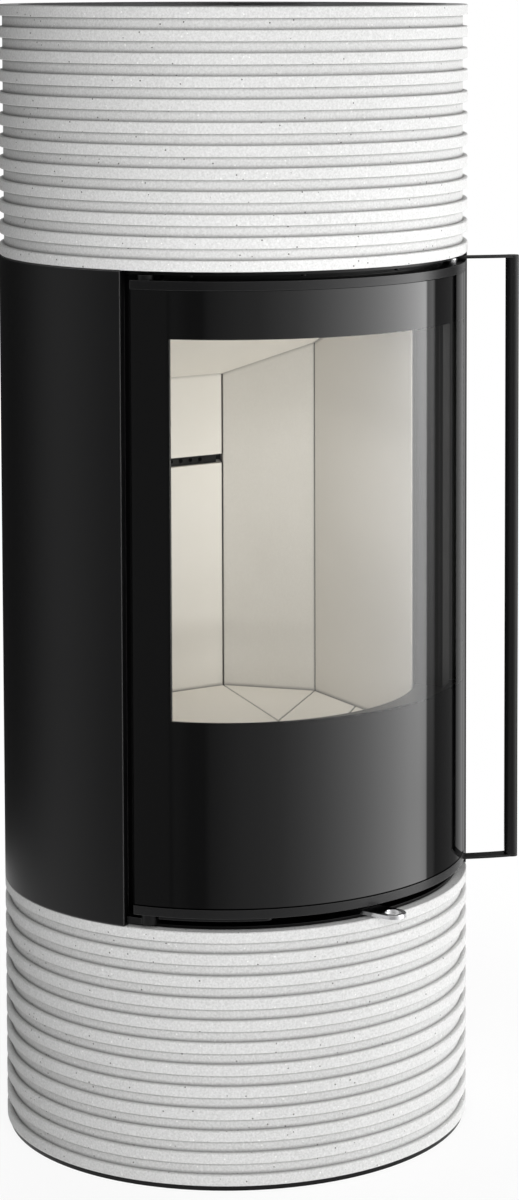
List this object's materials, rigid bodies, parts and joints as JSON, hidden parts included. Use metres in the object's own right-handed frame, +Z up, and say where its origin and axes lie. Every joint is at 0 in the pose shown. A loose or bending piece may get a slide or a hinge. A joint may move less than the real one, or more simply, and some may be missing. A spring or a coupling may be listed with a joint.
{
  "type": "wood stove",
  "caption": "Round free-standing wood stove: ribbed concrete rings above and below a black steel firebox with a curved glass door, bar handle, brick lining and air lever.",
  "frame": {"origin": "middle of the base plate's underside, on the floor", "axes": "+Z up, -Y towards the door, +X to the right seen from the door"},
  "size_m": [0.4802, 0.5248, 1.141],
  "materials": {
    "concrete": "fair-faced pale concrete, matt, fine pores",
    "firebrick": "cream vermiculite board, matt",
    "cast_grate": "black cast iron, matt",
    "black_steel": "satin black stove paint",
    "inner_steel": "matt black stove paint",
    "galvanised": "galvanised sheet",
    "bright_steel": "turned steel, satin",
    "stove_glass": "clear ceramic glass with a black printed border",
    "rope_seal": "black glass fibre rope and tape"
  },
  "bodies": {
    "root": {"base_plate": "black_steel", "plinth_column": "black_steel", "lower_ring": "concrete", "upper_ring": "concrete", "deck_plate": "black_steel", "air_box": "inner_steel", "air_inlet_spigot": "inner_steel", "firebox_shell": "inner_steel", "firebox_floor": "inner_steel", "firebox_top": "inner_steel", "front_frame": "black_steel", "sill_plate": "black_steel", "ash_box": "inner_steel", "ash_pan": "galvanised", "grate": "cast_grate", "floor_brick_back": "firebrick", "floor_brick_diagonal_right": "firebrick", "floor_brick_diagonal_left": "firebrick", "floor_brick_side_right": "firebrick", "floor_brick_side_left": "firebrick", "floor_brick_corner_right": "firebrick", "floor_brick_corner_left": "firebrick", "floor_brick_front": "firebrick", "side_lining_right": "firebrick", "side_lining_left": "firebrick", "diagonal_lining_right": "firebrick", "diagonal_lining_left": "firebrick", "back_lining_lower": "firebrick", "back_lining_upper": "firebrick", "air_nozzle_bar": "inner_steel", "secondary_air_duct": "inner_steel", "baffle_plate": "firebrick", "side_casing": "black_steel", "ring_support_plate": "black_steel", "header_screws": "bright_steel", "flue_riser": "black_steel", "top_plate": "black_steel", "top_posts": "inner_steel", "hinge_bush_lower": "black_steel", "hinge_bush_upper": "black_steel", "hinge_bracket_lower": "black_steel", "latch_keepers": "inner_steel", "keeper_pins": "bright_steel"},
    "door": {"door_frame": "black_steel", "door_rail_bottom": "black_steel", "door_rail_top": "black_steel", "door_glass": "stove_glass", "glass_tape": "rope_seal", "door_gasket": "rope_seal", "hinge_pins": "bright_steel", "hinge_strap": "black_steel"},
    "handle": {"latch_rod": "bright_steel", "latch_hooks": "bright_steel", "handle_arm_lower": "black_steel", "handle_arm_upper": "black_steel", "handle_bar": "black_steel"},
    "air_control": {"air_lever": "bright_steel", "air_damper": "inner_steel", "air_spindle": "bright_steel"}
  },
  "joints": [
    {"name": "door_swing", "type": "hinge", "parent": "root", "child": "door", "pos_m": [-0.18049, -0.13601, 0.575], "axis": [0, 0, -1], "range_deg": [0, 110]},
    {"name": "handle_turn", "type": "hinge", "parent": "door", "child": "handle", "pos_m": [0.1757, -0.1324, 0.575], "axis": [0, 0, -1], "range_deg": [0, 22]},
    {"name": "air_lever_swing", "type": "hinge", "parent": "root", "child": "air_control", "pos_m": [0, -0.186, 0.258], "axis": [0, 0, -1], "range_deg": [0, 44]}
  ]
}
